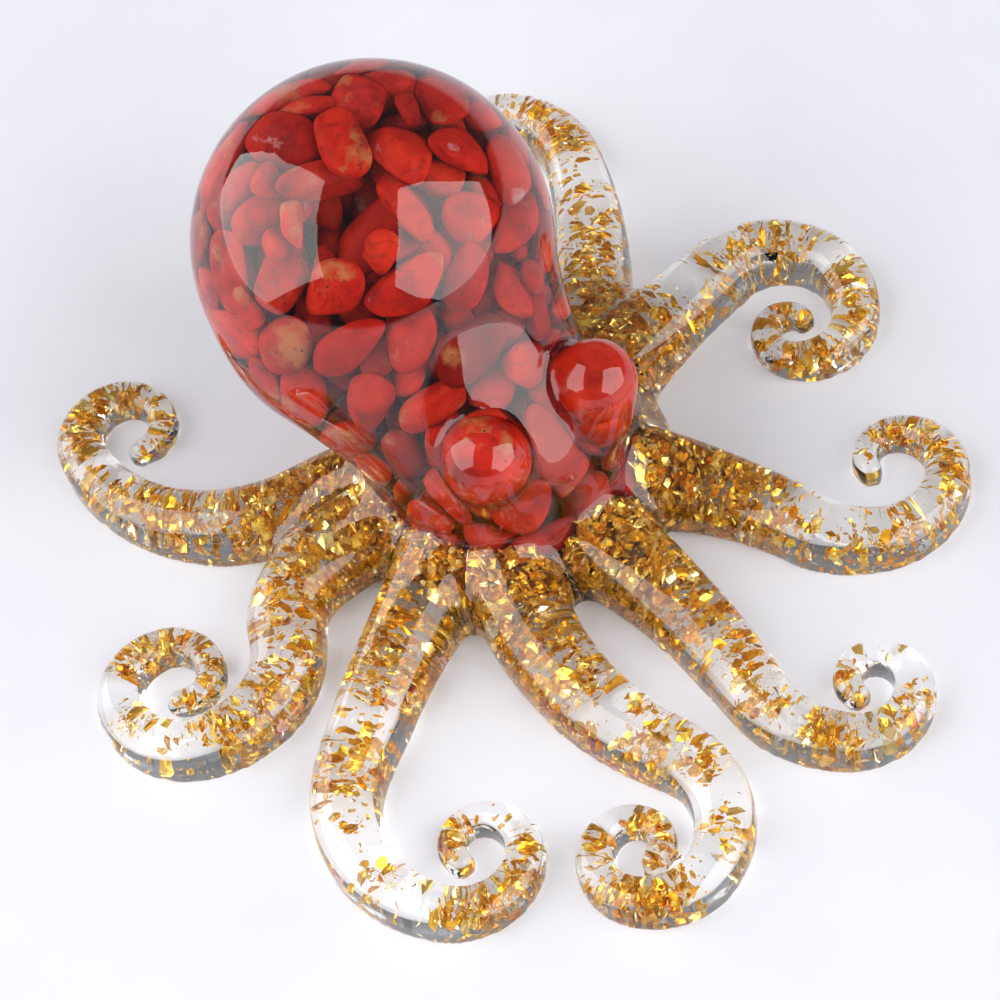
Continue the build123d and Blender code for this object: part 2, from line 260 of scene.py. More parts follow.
skin.vertices.foreach_set("co", points.ravel())
skin.update()
normals = np.empty(len(points) * 3)
skin.vertices.foreach_get("normal", normals)
points -= normals.reshape(-1, 3) * SWELL
points[:, 2] = np.maximum(points[:, 2], 0)
points = flared(points)
skin.vertices.foreach_set("co", points.ravel())
skin.shade_smooth()
skin.update()
casting.data = skin
print("casting box in mm:", np.round(points.min(0) / MM, 1), np.round(points.max(0) / MM, 1))

# %% [markdown]
# ## Jasper pebbles
#
# Each stone in the head is a tumbled chip: once broken, with flats and corners, and then
# rounded in a drum. A sphere scaled three ways looks like a bean. Here a few random planes
# cut a ball, and a soft maximum rounds the corners where they meet, which gives flats that
# turn smoothly into one another. The frame's chips give every stone its place, its flat
# side and its size.

# %% Read the chips' places
CHIP_SEED = 7
draws = np.random.default_rng(CHIP_SEED)


def chip_frames(node):
    """Middle, axes (long, wide, thick) and half sizes of each chip in a node."""
    mesh = merged_copy(node)
    found = []
    for faces in shells(mesh):
        corners = {corner.index: corner.co for face in faces for corner in face.verts}
        cloud = np.array(list(corners.values()))
        centre = (cloud.min(0) + cloud.max(0)) / 2
        axes = np.linalg.svd(cloud - cloud.mean(0))[2]
        axes[2] = np.cross(axes[0], axes[1])
        spread = (cloud - centre) @ axes.T
        centre = centre + ((spread.min(0) + spread.max(0)) / 2) @ axes
        found.append((centre, axes.T, np.ptp(spread, axis=0) / 2))
    mesh.free()
    return found


chips = {node: chip_frames(node) for node in STONE_NODES}
chip_list = [chip for node in STONE_NODES for chip in chips[node]]
print("chips:", {node: len(chips[node]) for node in STONE_NODES})

# %% [markdown]
# Stones poured into a mould don't lie in rows. Each pebble is tilted and resized at
# random, and is then a rigid cluster of small balls. The balls push each other apart, the
# wall pushes them in, and after every push the cluster is fitted back to its own shape.
# At the front the wall is let down a little, because there the stones reach below the
# line between the two pours. A rigid-body simulation would do the same, but this short
# loop needs no scene and gives the same result on every run.

# %% Pebbles as clusters of balls
LENGTH_DRAW, WIDTH_DRAW, DEPTH_DRAW = (1.0, 1.36), (0.80, 1.02), (0.72, 1.0)
TILT_SPREAD = math.radians(17)
SMALLEST_DEPTH = 1.5 * MM
RING_BALLS = 8
BALLS = RING_BALLS + 1


def turn_about(axis, angle):
    """A turn by that angle about an axis, as a 3 by 3 array."""
    return np.array(Matrix.Rotation(angle, 3, Vector(axis)))


def cluster(half):
    """Centres of the balls that fill a pebble of those half sizes; their radius is its depth."""
    radius = half[2]
    angles = np.arange(RING_BALLS) * 2 * np.pi / RING_BALLS
    ring = np.stack([np.cos(angles) * max(half[0] - radius, 0),
                     np.sin(angles) * max(half[1] - radius, 0),
                     np.zeros(RING_BALLS)], axis=1)
    return np.vstack([ring, np.zeros((1, 3))])


def ball_spots(stones):
    """Where the balls of all pebbles are, one row each, and their radii."""
    spots = [middle + cluster(half) @ turn.T for middle, turn, half in stones]
    return np.vstack(spots), np.repeat([half[2] for _, _, half in stones], BALLS)


def tumbled(centre, axes, half):
    """A pebble in place of a chip: resized and tilted at random."""
    lean_way = axes[:, 0] * draws.normal() + axes[:, 1] * draws.normal()
    lean = turn_about(lean_way / np.linalg.norm(lean_way), draws.normal() * TILT_SPREAD)
    share = [draws.uniform(*LENGTH_DRAW), draws.uniform(*WIDTH_DRAW), draws.uniform(*DEPTH_DRAW)]
    size = half * share
    size[2] = max(size[2], SMALLEST_DEPTH)
    return centre, lean @ axes, size


stones = [tumbled(*chip) for chip in chip_list]
owners = [node for node in STONE_NODES for _ in chips[node]]

# %% The wall round the stones
WALL = 0.5 * MM
SAG = 3.0 * MM
POUR_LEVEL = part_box("hub")[1][2]
mould = outer_shell("mantle")
for corner in mould.verts:
    if corner.co.z < POUR_LEVEL + MERGE and corner.co.y < 0:
        corner.co.z -= SAG
wall = BVHTree.FromBMesh(mould)
mould.free()
print("pour line at", round(POUR_LEVEL / MM, 1), "mm")


def depth_under_wall(spot):
    """How deep a point lies under the surface of the first pour, and the way out."""
    near, normal, _, _ = wall.find_nearest(Vector(spot))
    return (near - Vector(spot)).dot(normal), np.array(normal)


# %% What pushes the pebbles
SNUG = 0.95
PAIR_MARGIN = 2.0 * MM
TINY = 1e-9


def close_pairs(spots, radius, owner):
    """Pairs of balls of different pebbles that may soon touch."""
    far = np.linalg.norm(spots[:, None] - spots[None, :], axis=2)
    near = far < radius[:, None] + radius[None, :] + PAIR_MARGIN
    return np.nonzero(np.triu(near & (owner[:, None] != owner[None, :])))


def crowd_push(spots, radius, pairs):
    """How far each ball is pushed by the balls of other pebbles."""
    first, second = pairs
    gap = spots[first] - spots[second]
    far = np.linalg.norm(gap, axis=1) + TINY
    short = np.maximum((radius[first] + radius[second]) * SNUG - far, 0)
    step = gap * (short / far / 2)[:, None]
    push = np.zeros_like(spots)
    np.add.at(push, first, step)
    np.add.at(push, second, -step)
    count = np.bincount(np.concatenate((first[short > 0], second[short > 0])), minlength=len(spots))
    return push / np.sqrt(np.maximum(count, 1))[:, None]


def wall_push(spots, radius):
    """How far each ball is pushed in by the wall of the first pour."""
    push = np.zeros_like(spots)
    for k, spot in enumerate(spots):
        depth, outward = depth_under_wall(spot)
        push[k] = -outward * max(radius[k] + WALL - depth, 0)
    return push


# %% Settle the pebbles
SETTLE_ROUNDS, PAIR_ROUNDS = 60, 10
HOMING = 0.015


def settle(stones, rounds, crowded=True):
    """The pebbles after some rounds of pushing, each kept rigid."""
    middles, turns, halves = (np.array(column) for column in zip(*stones))
    homes = middles.copy()
    balls = np.array([cluster(half) for half in halves])
    owner = np.repeat(np.arange(len(stones)), BALLS)
    radius = halves[owner, 2]
    for turn_number in range(rounds):
        spots = (middles[:, None] + np.einsum("pij,pkj->pki", turns, balls)).reshape(-1, 3)
        if turn_number % PAIR_ROUNDS == 0:
            pairs = close_pairs(spots, radius, owner)
        if crowded:
            spots = spots + crowd_push(spots, radius, pairs)
        spots = spots + wall_push(spots, radius)
        target = spots.reshape(balls.shape)
        middles = target.mean(1)
        fit = np.einsum("pki,pkj->pij", target - middles[:, None], balls)
        left, _, right = np.linalg.svd(fit)
        left[:, :, 2] *= np.sign(np.linalg.det(left @ right))[:, None]
        turns = left @ right
        if crowded:
            middles = middles + HOMING * (homes - middles)
    return list(zip(middles, turns, halves))


stones = settle(stones, SETTLE_ROUNDS)
print("settled", len(stones), "pebbles")

# %% [markdown]
# The chips leave some room between them. In a poured head the smallest stones slip into
# such hollows, so points are tried at random, and where a hollow is wide enough a small
# pebble goes in. Then all of them settle once more, and are tucked inside the wall.

# %% Fill the hollows
TUCK_ROUNDS = 20
TRIES = 30000
HOLLOW = 1.2 * MM
FILL_SHAPE = np.array((1.9, 1.45, 1.0))
FILL_LIMIT = 170
LARGEST_FILL = 2.4 * MM


def hollows(stones):
    """Points in the head far from every pebble, with the free radius there."""
    low, high = (np.array(corner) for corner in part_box("mantle"))
    tries = draws.uniform(low, high, (TRIES, 3))
    room = np.array([depth_under_wall(spot)[0] - WALL for spot in tries])
    tries, room = tries[room > HOLLOW], room[room > HOLLOW]
    for spot, radius in zip(*ball_spots(stones)):
        room = np.minimum(room, np.linalg.norm(tries - spot, axis=1) - radius)
    found = []
    while len(found) < FILL_LIMIT and room.max() > HOLLOW:
        best = room.argmax()
        found.append((tries[best], room[best]))
        room = np.minimum(room, np.linalg.norm(tries - tries[best], axis=1) - found[-1][1])
    return found


homes = np.array([stone[0] for stone in stones])
for spot, room in hollows(stones):
    turn, _ = np.linalg.qr(draws.normal(size=(3, 3)))
    turn[:, 2] = np.cross(turn[:, 0], turn[:, 1])
    owners.append(owners[np.linalg.norm(homes - spot, axis=1).argmin()])
    stones.append((spot, turn, FILL_SHAPE * min(room, LARGEST_FILL)))
print("filled", len(stones) - len(homes), "hollows")
stones = settle(settle(stones, SETTLE_ROUNDS), TUCK_ROUNDS, crowded=False)

# %% [markdown]
# Now each pebble gets its shape. Two planes make its flat sides, two its ends, a ring of
# them its outline, and a few at random its bevels. Every pebble has its own planes, so no
# two stones are alike.

# %% Cut a pebble from a ball
ROUNDNESS = 5.5
FLAT_DRAW, END_DRAW, SIDE_DRAW, BEVEL_DRAW = (0.82, 0.97), (0.78, 0.95), (0.86, 1.0), (0.90, 1.02)
FLAT_TILT, END_TILT, SIDE_TILT, SIDE_SHIFT = 0.16, 0.3, 0.35, 0.25
FEWEST_SIDES, MOST_SIDES, BEVELS = 4, 6, 6


def unit_ball(level):
    """Points and faces of an icosphere of radius 1."""
    ball = bmesh.new()
    bmesh.ops.create_icosphere(ball, subdivisions=level, radius=1)
    spots = np.array([vert.co for vert in ball.verts])
    faces = [[vert.index for vert in face.verts] for face in ball.faces]
    ball.free()
    return spots, faces


def cut_planes():
    """Directions and distances of the planes that cut one pebble from a ball."""
    ways, distances = [], []
    for side in (1, -1):
        ways.append((*draws.normal(size=2) * FLAT_TILT, side))
        distances.append(draws.uniform(*FLAT_DRAW))
        ways.append((side, *draws.normal(size=2) * END_TILT))
        distances.append(draws.uniform(*END_DRAW))
    sides = draws.integers(FEWEST_SIDES, MOST_SIDES + 1)
    start = draws.uniform(0, 2 * np.pi)
    for k in range(sides):
        angle = start + (k + draws.uniform(-SIDE_SHIFT, SIDE_SHIFT)) * 2 * np.pi / sides
        ways.append((math.cos(angle), math.sin(angle), draws.uniform(-SIDE_TILT, SIDE_TILT)))
        distances.append(draws.uniform(*SIDE_DRAW))
    for _ in range(BEVELS):
        ways.append(tuple(draws.normal(size=3)))
        distances.append(draws.uniform(*BEVEL_DRAW))
    ways = np.array(ways)
    return ways / np.linalg.norm(ways, axis=1)[:, None], np.array(distances)


def pebble_points(ball, half):
    """The ball's points moved to a rounded stone of those half sizes."""
    ways, distances = cut_planes()
    pull = np.maximum(ball @ ways.T / distances, 0) ** ROUNDNESS
    shape = ball * (pull.sum(1) ** (-1 / ROUNDNESS))[:, None]
    return shape / np.abs(shape).max(0) * half


# %% [markdown]
# A stone may still poke through the skin where the smoothing took some resin away, so each
# point is compared with the skin, and one that lies too near is moved in under it. The
# stone in each eye fills its dome and shows as one red ball, so it keeps the chip's own
# place and is only made larger.

# %% Make the pebbles
BALL_LEVEL = 4
STONE_COVER = 0.35 * MM
EYE_FILL = 1.36


def tucked(spots, cover):
    """The points, with those that lie too near the casting's skin moved in under it."""
    moved = np.array(spots, float)
    for k, spot in enumerate(moved):
        near, normal, _, _ = skin_tree.find_nearest(Vector(spot))
        if (near - Vector(spot)).dot(normal) < cover:
            moved[k] = near - normal * cover
    return moved


skin_tree = BVHTree.FromPolygons([Vector(p) for p in points], [p.vertices[:] for p in skin.polygons])
for number, owner in enumerate(owners[:len(chip_list)]):
    if owner.endswith("_eye_chip"):
        centre, axes, half = chip_list[number]
        stones[number] = (centre, axes, half * EYE_FILL)
ball, ball_faces = unit_ball(BALL_LEVEL)
pebbles = {}
for node in STONE_NODES:
    spots, faces, tints = [], [], []
    for owner, (middle, turn, half) in zip(owners, stones):
        if owner != node:
            continue
        base = len(spots) * len(ball)
        spots.append(tucked(flared(pebble_points(ball, half) @ turn.T + middle), STONE_COVER))
        faces += [[corner + base for corner in face] for face in ball_faces]
        tints.append(np.full(len(ball), draws.uniform()))
    mesh = bpy.data.meshes.new(node.replace("chip", "pebble"))
    mesh.from_pydata(np.vstack(spots), [], faces)
    mesh.shade_smooth()
    mesh.attributes.new("stone", "FLOAT", "POINT").data.foreach_set("value", np.concatenate(tints))
    pebbles[node] = add_object(mesh.name, mesh)
print("pebbles:", {piece.name: len(piece.data.polygons) for piece in pebbles.values()})

# %% [markdown]
# ## Gold leaf
#
# The maker crumbles imitation gold leaf into the second pour. It drifts to the middle of
# the arms and leaves clear rims, while round the head it lies close under the surface.
# Thousands of scraps are work for Geometry Nodes: the solid is shrunk to leave a clear
# wall, points are scattered over it, and a ray through the solid measures how thick it is
# at each one, so that every point sinks by a share of that. Noise thins the points into
# drifts, and each gets a thin five-sided scrap. After the scraps are real geometry, a fine
# noise crumples them, so that no two are alike.

# %% Helpers for node trees
# Some nodes have a set of sockets for each kind of value. These are the places of a Random
# Value node's plain number, and of a Mix node's colour.
NUMBER_LEAST, NUMBER_MOST, NUMBER_OUT = 2, 3, 1
COLOUR_FIRST, COLOUR_SECOND, COLOUR_OUT = 6, 7, 2


class Tree:
    """A node tree with short ways to add and join nodes."""

    def __init__(self, tree):
        self.tree = tree

    def add(self, kind, **settings):
        """A node of that kind. Settings that name an input set its value or link it."""
        node = self.tree.nodes.new(kind)
        inputs = {}
        for name, value in settings.items():
            if hasattr(node, name):
                setattr(node, name, value)
            else:
                inputs[name] = value
        for name, value in inputs.items():
            self.set(node, name.replace("_", " "), value)
        return node

    def set(self, node, name, value):
        """Sets or links one input, given by its label or its number."""
        socket = node.inputs[name]
        if isinstance(value, bpy.types.NodeSocket):
            self.tree.links.new(value, socket)
        else:
            socket.default_value = value


def maths(tree, operation, *values):
    """The result of a Math node on numbers or sockets."""
    node = tree.add("ShaderNodeMath", operation=operation)
    for place, value in enumerate(values):
        tree.set(node, place, value)
    return node.outputs[0]


def scaled(tree, vector, factor):
    """A vector times a number."""
    node = tree.add("ShaderNodeVectorMath", operation="SCALE")
    tree.set(node, 0, vector)
    tree.set(node, "Scale", factor)
    return node.outputs[0]


def chance(tree, seed, offset):
    """A random number from 0 to 1 for each element."""
    node = tree.add("FunctionNodeRandomValue", data_type="FLOAT")
    tree.set(node, "Seed", maths(tree, "ADD", seed, float(offset)))
    return node.outputs[NUMBER_OUT]


# %% Points for the leaf
HUB_EDGE, ARM_MIDDLE = 20 * MM, 42 * MM
HUB_DEPTH, HUB_THINNING, ARM_THINNING = 0.2, -0.12, 0.03
DRIFT_SCALE, DRIFT_DETAIL = 135.0, 2.0
BARE_BELOW, BARE_SPREAD = 0.35, 0.26
THIN_SEED, LENGTH_SEED, WIDTH_SEED, TINT_SEED = 5, 17, 23, 31


def along_arm(tree, at_hub, at_middle):
    """A value that goes from one at the hub's edge to another at the arms' middle."""
    span = tree.add("ShaderNodeVectorMath", operation="LENGTH")
    tree.set(span, 0, tree.add("GeometryNodeInputPosition").outputs[0])
    return tree.add("ShaderNodeMapRange", Value=span.outputs[1], From_Min=HUB_EDGE, From_Max=ARM_MIDDLE,
                    To_Min=at_hub, To_Max=at_middle).outputs[0]


def leaf_points(tree, sizes):
    """Points under the skin of the solid, thinned into drifts that are thickest at the hub."""
    normal = tree.add("GeometryNodeInputNormal").outputs[0]
    inward = scaled(tree, normal, maths(tree, "MULTIPLY", sizes["Wall"], -1.0))
    core = tree.add("GeometryNodeSetPosition", Geometry=sizes["Solid"], Offset=inward)
    scatter = tree.add("GeometryNodeDistributePointsOnFaces", Mesh=core.outputs[0],
                       Density=sizes["Density"], Seed=sizes["Seed"])
    down = scaled(tree, scatter.outputs["Normal"], -1.0)
    across = tree.add("GeometryNodeRaycast", Target_Geometry=sizes["Solid"], Ray_Direction=down)
    depth = tree.add("FunctionNodeRandomValue", data_type="FLOAT", Seed=sizes["Seed"])
    tree.set(depth, NUMBER_LEAST, sizes["Shallowest"])
    tree.set(depth, NUMBER_MOST, sizes["Deepest"])
    sink = maths(tree, "MULTIPLY", across.outputs["Hit Distance"], depth.outputs[NUMBER_OUT])
    sink = maths(tree, "MULTIPLY", sink, along_arm(tree, HUB_DEPTH, 1.0))
    spots = tree.add("GeometryNodeSetPosition", Geometry=scatter.outputs[0],
                     Offset=scaled(tree, down, sink))
    drift = tree.add("ShaderNodeTexNoise", Scale=DRIFT_SCALE, Detail=DRIFT_DETAIL).outputs[0]
    luck = chance(tree, sizes["Seed"], THIN_SEED)
    limit = maths(tree, "MULTIPLY_ADD", luck, BARE_SPREAD, BARE_BELOW)
    bare = tree.add("FunctionNodeCompare", data_type="FLOAT", operation="LESS_THAN")
    tree.set(bare, 0, drift)
    tree.set(bare, 1, maths(tree, "ADD", limit, along_arm(tree, HUB_THINNING, ARM_THINNING)))
    kept = tree.add("GeometryNodeDeleteGeometry", domain="POINT", Geometry=spots.outputs[0],
                    Selection=bare.outputs[0])
    return kept.outputs[0], scatter.outputs["Rotation"]


# %% A scrap on every point
LEAF_SIDES = 5
LEAF_LEAN = 1.1
LEAST_SCALE, MOST_SCALE, NARROWEST = 0.30, 2.7, 0.28
RARENESS, HUB_GROWTH = 3.2, 1.4


def leaf_scraps(tree, sizes, spots, flat):
    """A thin scrap on every point, turned and sized at random, with its own number."""
    scrap = tree.add("GeometryNodeMeshCylinder", fill_type="TRIANGLE_FAN", Vertices=LEAF_SIDES,
                     Radius=sizes["Leaf size"], Depth=sizes["Thickness"])
    spin = tree.add("FunctionNodeRandomValue", data_type="FLOAT_VECTOR", Seed=sizes["Seed"])
    tree.set(spin, 0, (-LEAF_LEAN, -LEAF_LEAN, 0.0))
    tree.set(spin, 1, (LEAF_LEAN, LEAF_LEAN, math.tau))
    turned = tree.add("FunctionNodeRotateRotation", rotation_space="LOCAL", Rotation=flat)
    tree.set(turned, "Rotate By", spin.outputs[0])
    rare = maths(tree, "POWER", chance(tree, sizes["Seed"], LENGTH_SEED), RARENESS)
    length = maths(tree, "MULTIPLY_ADD", rare, MOST_SCALE - LEAST_SCALE, LEAST_SCALE)
    length = maths(tree, "MULTIPLY", length, along_arm(tree, HUB_GROWTH, 1.0))
    slim = chance(tree, sizes["Seed"], WIDTH_SEED)
    share = maths(tree, "MULTIPLY_ADD", slim, 1 - NARROWEST, NARROWEST)
    grow = tree.add("ShaderNodeCombineXYZ", X=length, Y=maths(tree, "MULTIPLY", length, share), Z=1.0)
    placed = tree.add("GeometryNodeInstanceOnPoints", Points=spots, Instance=scrap.outputs[0],
                      Rotation=turned.outputs[0], Scale=grow.outputs[0])
    marked = tree.add("GeometryNodeStoreNamedAttribute", data_type="FLOAT", domain="INSTANCE",
                      Geometry=placed.outputs[0])
    tree.set(marked, "Name", "leaf")
    tree.set(marked, "Value", chance(tree, sizes["Seed"], TINT_SEED))
    return tree.add("GeometryNodeRealizeInstances", Geometry=marked.outputs[0]).outputs[0]


# %% The whole tree
LEAF_INPUTS = {"Wall": "Float", "Shallowest": "Float", "Deepest": "Float", "Density": "Float",
               "Leaf size": "Float", "Thickness": "Float", "Crumple": "Float", "Seed": "Int"}
CREASE_SCALE, CREASE_DETAIL = 1500.0, 1.0
MIDDLE_GREY = (0.5, 0.5, 0.5)


def leaf_tree(gold):
    """The tree that turns a closed solid into the gold leaf inside it."""
    group = bpy.data.node_groups.new("gold_leaf", "GeometryNodeTree")
    group.interface.new_socket("Solid", in_out="INPUT", socket_type="NodeSocketGeometry")
    for label, kind in LEAF_INPUTS.items():
        group.interface.new_socket(label, in_out="INPUT", socket_type="NodeSocket" + kind)
    group.interface.new_socket("Leaf", in_out="OUTPUT", socket_type="NodeSocketGeometry")
    tree = Tree(group)
    sizes = tree.add("NodeGroupInput").outputs
    scraps = leaf_scraps(tree, sizes, *leaf_points(tree, sizes))
    crease = tree.add("ShaderNodeTexNoise", Scale=CREASE_SCALE, Detail=CREASE_DETAIL)
    centred = tree.add("ShaderNodeVectorMath", operation="SUBTRACT")
    tree.set(centred, 0, crease.outputs[1])
    tree.set(centred, 1, MIDDLE_GREY)
    crumpled = tree.add("GeometryNodeSetPosition", Geometry=scraps,
                        Offset=scaled(tree, centred.outputs[0], sizes["Crumple"]))
    finish = tree.add("GeometryNodeSetMaterial", Geometry=crumpled.outputs[0], Material=gold)
    tree.set(tree.add("NodeGroupOutput"), 0, finish.outputs[0])
    return group


# %% [markdown]
# ## Finishes
#
# Clear resin bends light, so it is the Principled shader with full transmission. Lamps
# can't be sampled through bent light, and the stones inside would stay dark; so for shadow
# rays alone the resin is a faintly grey window. The jasper mixes brick red, vermilion,
# ochre and black at several scales. The leaf is a metal whose colour goes from pale brass
# to burnt orange, scrap by scrap.

# %% Resin
CLEAR = (0.985, 0.985, 0.98, 1)
SHADOW_TINT = (0.90, 0.90, 0.91, 1)
RESIN_IOR = 1.56
HAZE_SCALE, HAZE_DETAIL, DULLEST_RESIN = 60.0, 3.0, 0.02
WAVE_SCALE, WAVE_DETAIL, WAVE_HEIGHT = 85.0, 1.0, 0.3 * MM


def new_material(name):
    """An empty node material: its tree, its shader and its output."""
    material = bpy.data.materials.new(name)
    material.use_nodes = True
    tree = Tree(material.node_tree)
    shader = material.node_tree.nodes["Principled BSDF"]
    output = material.node_tree.nodes["Material Output"]
    return material, tree, shader, output


def resin_finish():
    """Clear epoxy with a faint unevenness in its gloss and its surface."""
    material, tree, shader, output = new_material("clear_resin")
    place = tree.add("ShaderNodeTexCoord").outputs["Object"]
    haze = tree.add("ShaderNodeTexNoise", Vector=place, Scale=HAZE_SCALE, Detail=HAZE_DETAIL)
    gloss = tree.add("ShaderNodeMapRange", Value=haze.outputs[0], To_Min=0.0, To_Max=DULLEST_RESIN)
    shader.inputs["Base Color"].default_value = CLEAR
    shader.inputs["Transmission Weight"].default_value = 1
    shader.inputs["IOR"].default_value = RESIN_IOR
    tree.set(shader, "Roughness", gloss.outputs[0])
    wave = tree.add("ShaderNodeTexNoise", Vector=place, Scale=WAVE_SCALE, Detail=WAVE_DETAIL)
    bump = tree.add("ShaderNodeBump", Height=wave.outputs[0], Strength=1.0, Distance=WAVE_HEIGHT)
    tree.set(shader, "Normal", bump.outputs[0])
    path = tree.add("ShaderNodeLightPath")
    window = tree.add("ShaderNodeBsdfTransparent", Color=SHADOW_TINT)
    both = tree.add("ShaderNodeMixShader")
    tree.set(both, 0, path.outputs["Is Shadow Ray"])
    tree.set(both, 1, shader.outputs[0])
    tree.set(both, 2, window.outputs[0])
    tree.set(output, "Surface", both.outputs[0])
    return material


# %% Colour helpers


def ramp(tree, value, *stops):
    """A colour ramp through (place, colour) stops."""
    node = tree.add("ShaderNodeValToRGB", Fac=value)
    elements = node.color_ramp.elements
    while len(elements) < len(stops):
        elements.new(1)
    for element, (place, colour) in zip(elements, stops):
        element.position = place
        element.color = (*colour, 1)
    return node.outputs["Color"]


def blend(tree, share, first, second, mode="MIX"):
    """Two colours mixed by a share."""
    node = tree.add("ShaderNodeMix", data_type="RGBA", blend_type=mode)
    tree.set(node, 0, share)
    tree.set(node, COLOUR_FIRST, first)
    tree.set(node, COLOUR_SECOND, second)
    return node.outputs[COLOUR_OUT]


# %% Jasper
OLD_BRICK, BRICK, VERMILION = (0.17, 0.006, 0.004), (0.43, 0.013, 0.005), (0.60, 0.030, 0.009)
STONE_TINTS = ((0.0, (0.40, 0.30, 0.32)), (0.10, (0.72, 0.62, 0.66)), (0.3, (1, 0.9, 0.9)),
               (0.85, (1, 1.25, 1.1)), (1.0, (0.80, 1.1, 1.3)))
SEAM, EARTH = (0.10, 0.012, 0.010, 1), (0.42, 0.17, 0.06, 1)
MILK, SPECK = (0.46, 0.38, 0.36, 1), (0.035, 0.008, 0.008, 1)
NO_SHARE, FULL_SHARE = (0, 0, 0), (1, 1, 1)
CLOUD_SCALE, BAND_SCALE, PATCH_SCALE = 210.0, 95.0, 130.0
SPECK_SCALE, AREA_SCALE, GRAIN_SCALE = 900.0, 260.0, 1400.0
STONE_SHIFT = (31.0, 17.0, 23.0)
STONE_GLOSS, GLOSSIEST_STONE, DULLEST_STONE = 0.06, 0.28, 0.5
GRAIN_STRENGTH, GRAIN_HEIGHT = 0.12, 0.1 * MM


def grey(share):
    """A share as a colour, for a ramp that gives a mask."""
    return (share, share, share)


def jasper_colour(tree, where, own, cloud):
    """Brick and vermilion clouds with dark seams, ochre and milky patches and black specks."""
    red = ramp(tree, cloud, (0.28, OLD_BRICK), (0.46, BRICK), (0.70, VERMILION))
    red = blend(tree, 1.0, red, ramp(tree, own, *STONE_TINTS), "MULTIPLY")
    band = tree.add("ShaderNodeTexNoise", Vector=where, Scale=BAND_SCALE, Detail=5.0, Distortion=1.2)
    seam = ramp(tree, band.outputs[0], (0.482, NO_SHARE), (0.498, grey(0.45)), (0.512, NO_SHARE))
    red = blend(tree, seam, red, SEAM)
    patch = tree.add("ShaderNodeTexNoise", Vector=where, Scale=PATCH_SCALE, Detail=5.0, Roughness=0.6)
    red = blend(tree, ramp(tree, patch.outputs[0], (0.60, NO_SHARE), (0.69, grey(0.75))), red, EARTH)
    red = blend(tree, ramp(tree, patch.outputs[0], (0.28, grey(0.7)), (0.35, NO_SHARE)), red, MILK)
    speck = tree.add("ShaderNodeTexVoronoi", Vector=where, Scale=SPECK_SCALE)
    dots = ramp(tree, speck.outputs["Distance"], (0.10, grey(0.85)), (0.20, NO_SHARE))
    area = tree.add("ShaderNodeTexNoise", Vector=where, Scale=AREA_SCALE, Detail=3.0)
    dark_area = ramp(tree, area.outputs[0], (0.47, NO_SHARE), (0.60, FULL_SHARE))
    return blend(tree, blend(tree, 1.0, dots, dark_area, "MULTIPLY"), red, SPECK)


def jasper_finish():
    """Tumbled red jasper, whose pattern is shifted from stone to stone."""
    material, tree, shader, _ = new_material("red_jasper")
    place = tree.add("ShaderNodeTexCoord").outputs["Object"]
    own = tree.add("ShaderNodeAttribute", attribute_name="stone").outputs["Fac"]
    moved = tree.add("ShaderNodeVectorMath", operation="ADD")
    tree.set(moved, 0, place)
    tree.set(moved, 1, scaled(tree, STONE_SHIFT, own))
    where = moved.outputs[0]
    cloud = tree.add("ShaderNodeTexNoise", Vector=where, Scale=CLOUD_SCALE, Detail=6.0, Roughness=0.62)
    tree.set(shader, "Base Color", jasper_colour(tree, where, own, cloud.outputs[0]))
    shader.inputs["Specular IOR Level"].default_value = STONE_GLOSS
    shine = tree.add("ShaderNodeMapRange", Value=cloud.outputs[0], To_Min=GLOSSIEST_STONE,
                     To_Max=DULLEST_STONE)
    tree.set(shader, "Roughness", shine.outputs[0])
    grain = tree.add("ShaderNodeTexNoise", Vector=where, Scale=GRAIN_SCALE, Detail=3.0)
    bump = tree.add("ShaderNodeBump", Height=grain.outputs[0], Strength=GRAIN_STRENGTH,
                    Distance=GRAIN_HEIGHT)
    tree.set(shader, "Normal", bump.outputs[0])
    return material


# %% Gold
LEAF_TINTS = ((0.0, (0.74, 0.33, 0.015)), (0.3, (1.0, 0.57, 0.045)), (0.7, (1.0, 0.72, 0.13)),
              (0.92, (1.0, 0.85, 0.36)), (1.0, (0.98, 0.95, 0.82)))
TARNISH = (0.80, 0.62, 0.46)
STAIN_SCALE, STAIN_DETAIL = 700.0, 3.0
LEAF_METAL, BRIGHTEST_LEAF, DULLEST_LEAF = 0.85, 0.10, 0.34


def gold_finish():
    """Imitation leaf: brass that goes from pale to burnt, scrap by scrap."""
    material, tree, shader, _ = new_material("crumpled_gold_leaf")
    place = tree.add("ShaderNodeTexCoord").outputs["Object"]
    own = tree.add("ShaderNodeAttribute", attribute_name="leaf").outputs["Fac"]
    metal = ramp(tree, own, *LEAF_TINTS)
    stain = tree.add("ShaderNodeTexNoise", Vector=place, Scale=STAIN_SCALE, Detail=STAIN_DETAIL)
    worn = ramp(tree, stain.outputs[0], (0.38, TARNISH), (0.54, FULL_SHARE))
    tree.set(shader, "Base Color", blend(tree, 1.0, metal, worn, "MULTIPLY"))
    shader.inputs["Metallic"].default_value = LEAF_METAL
    dull = tree.add("ShaderNodeMapRange", Value=stain.outputs[0], To_Min=BRIGHTEST_LEAF,
                    To_Max=DULLEST_LEAF)
    tree.set(shader, "Roughness", dull.outputs[0])
    return material


resin, jasper, gold = resin_finish(), jasper_finish(), gold_finish()
casting.data.materials.append(resin)
for piece in pebbles.values():
    piece.data.materials.append(jasper)
print("finishes:", resin.name, jasper.name, gold.name)

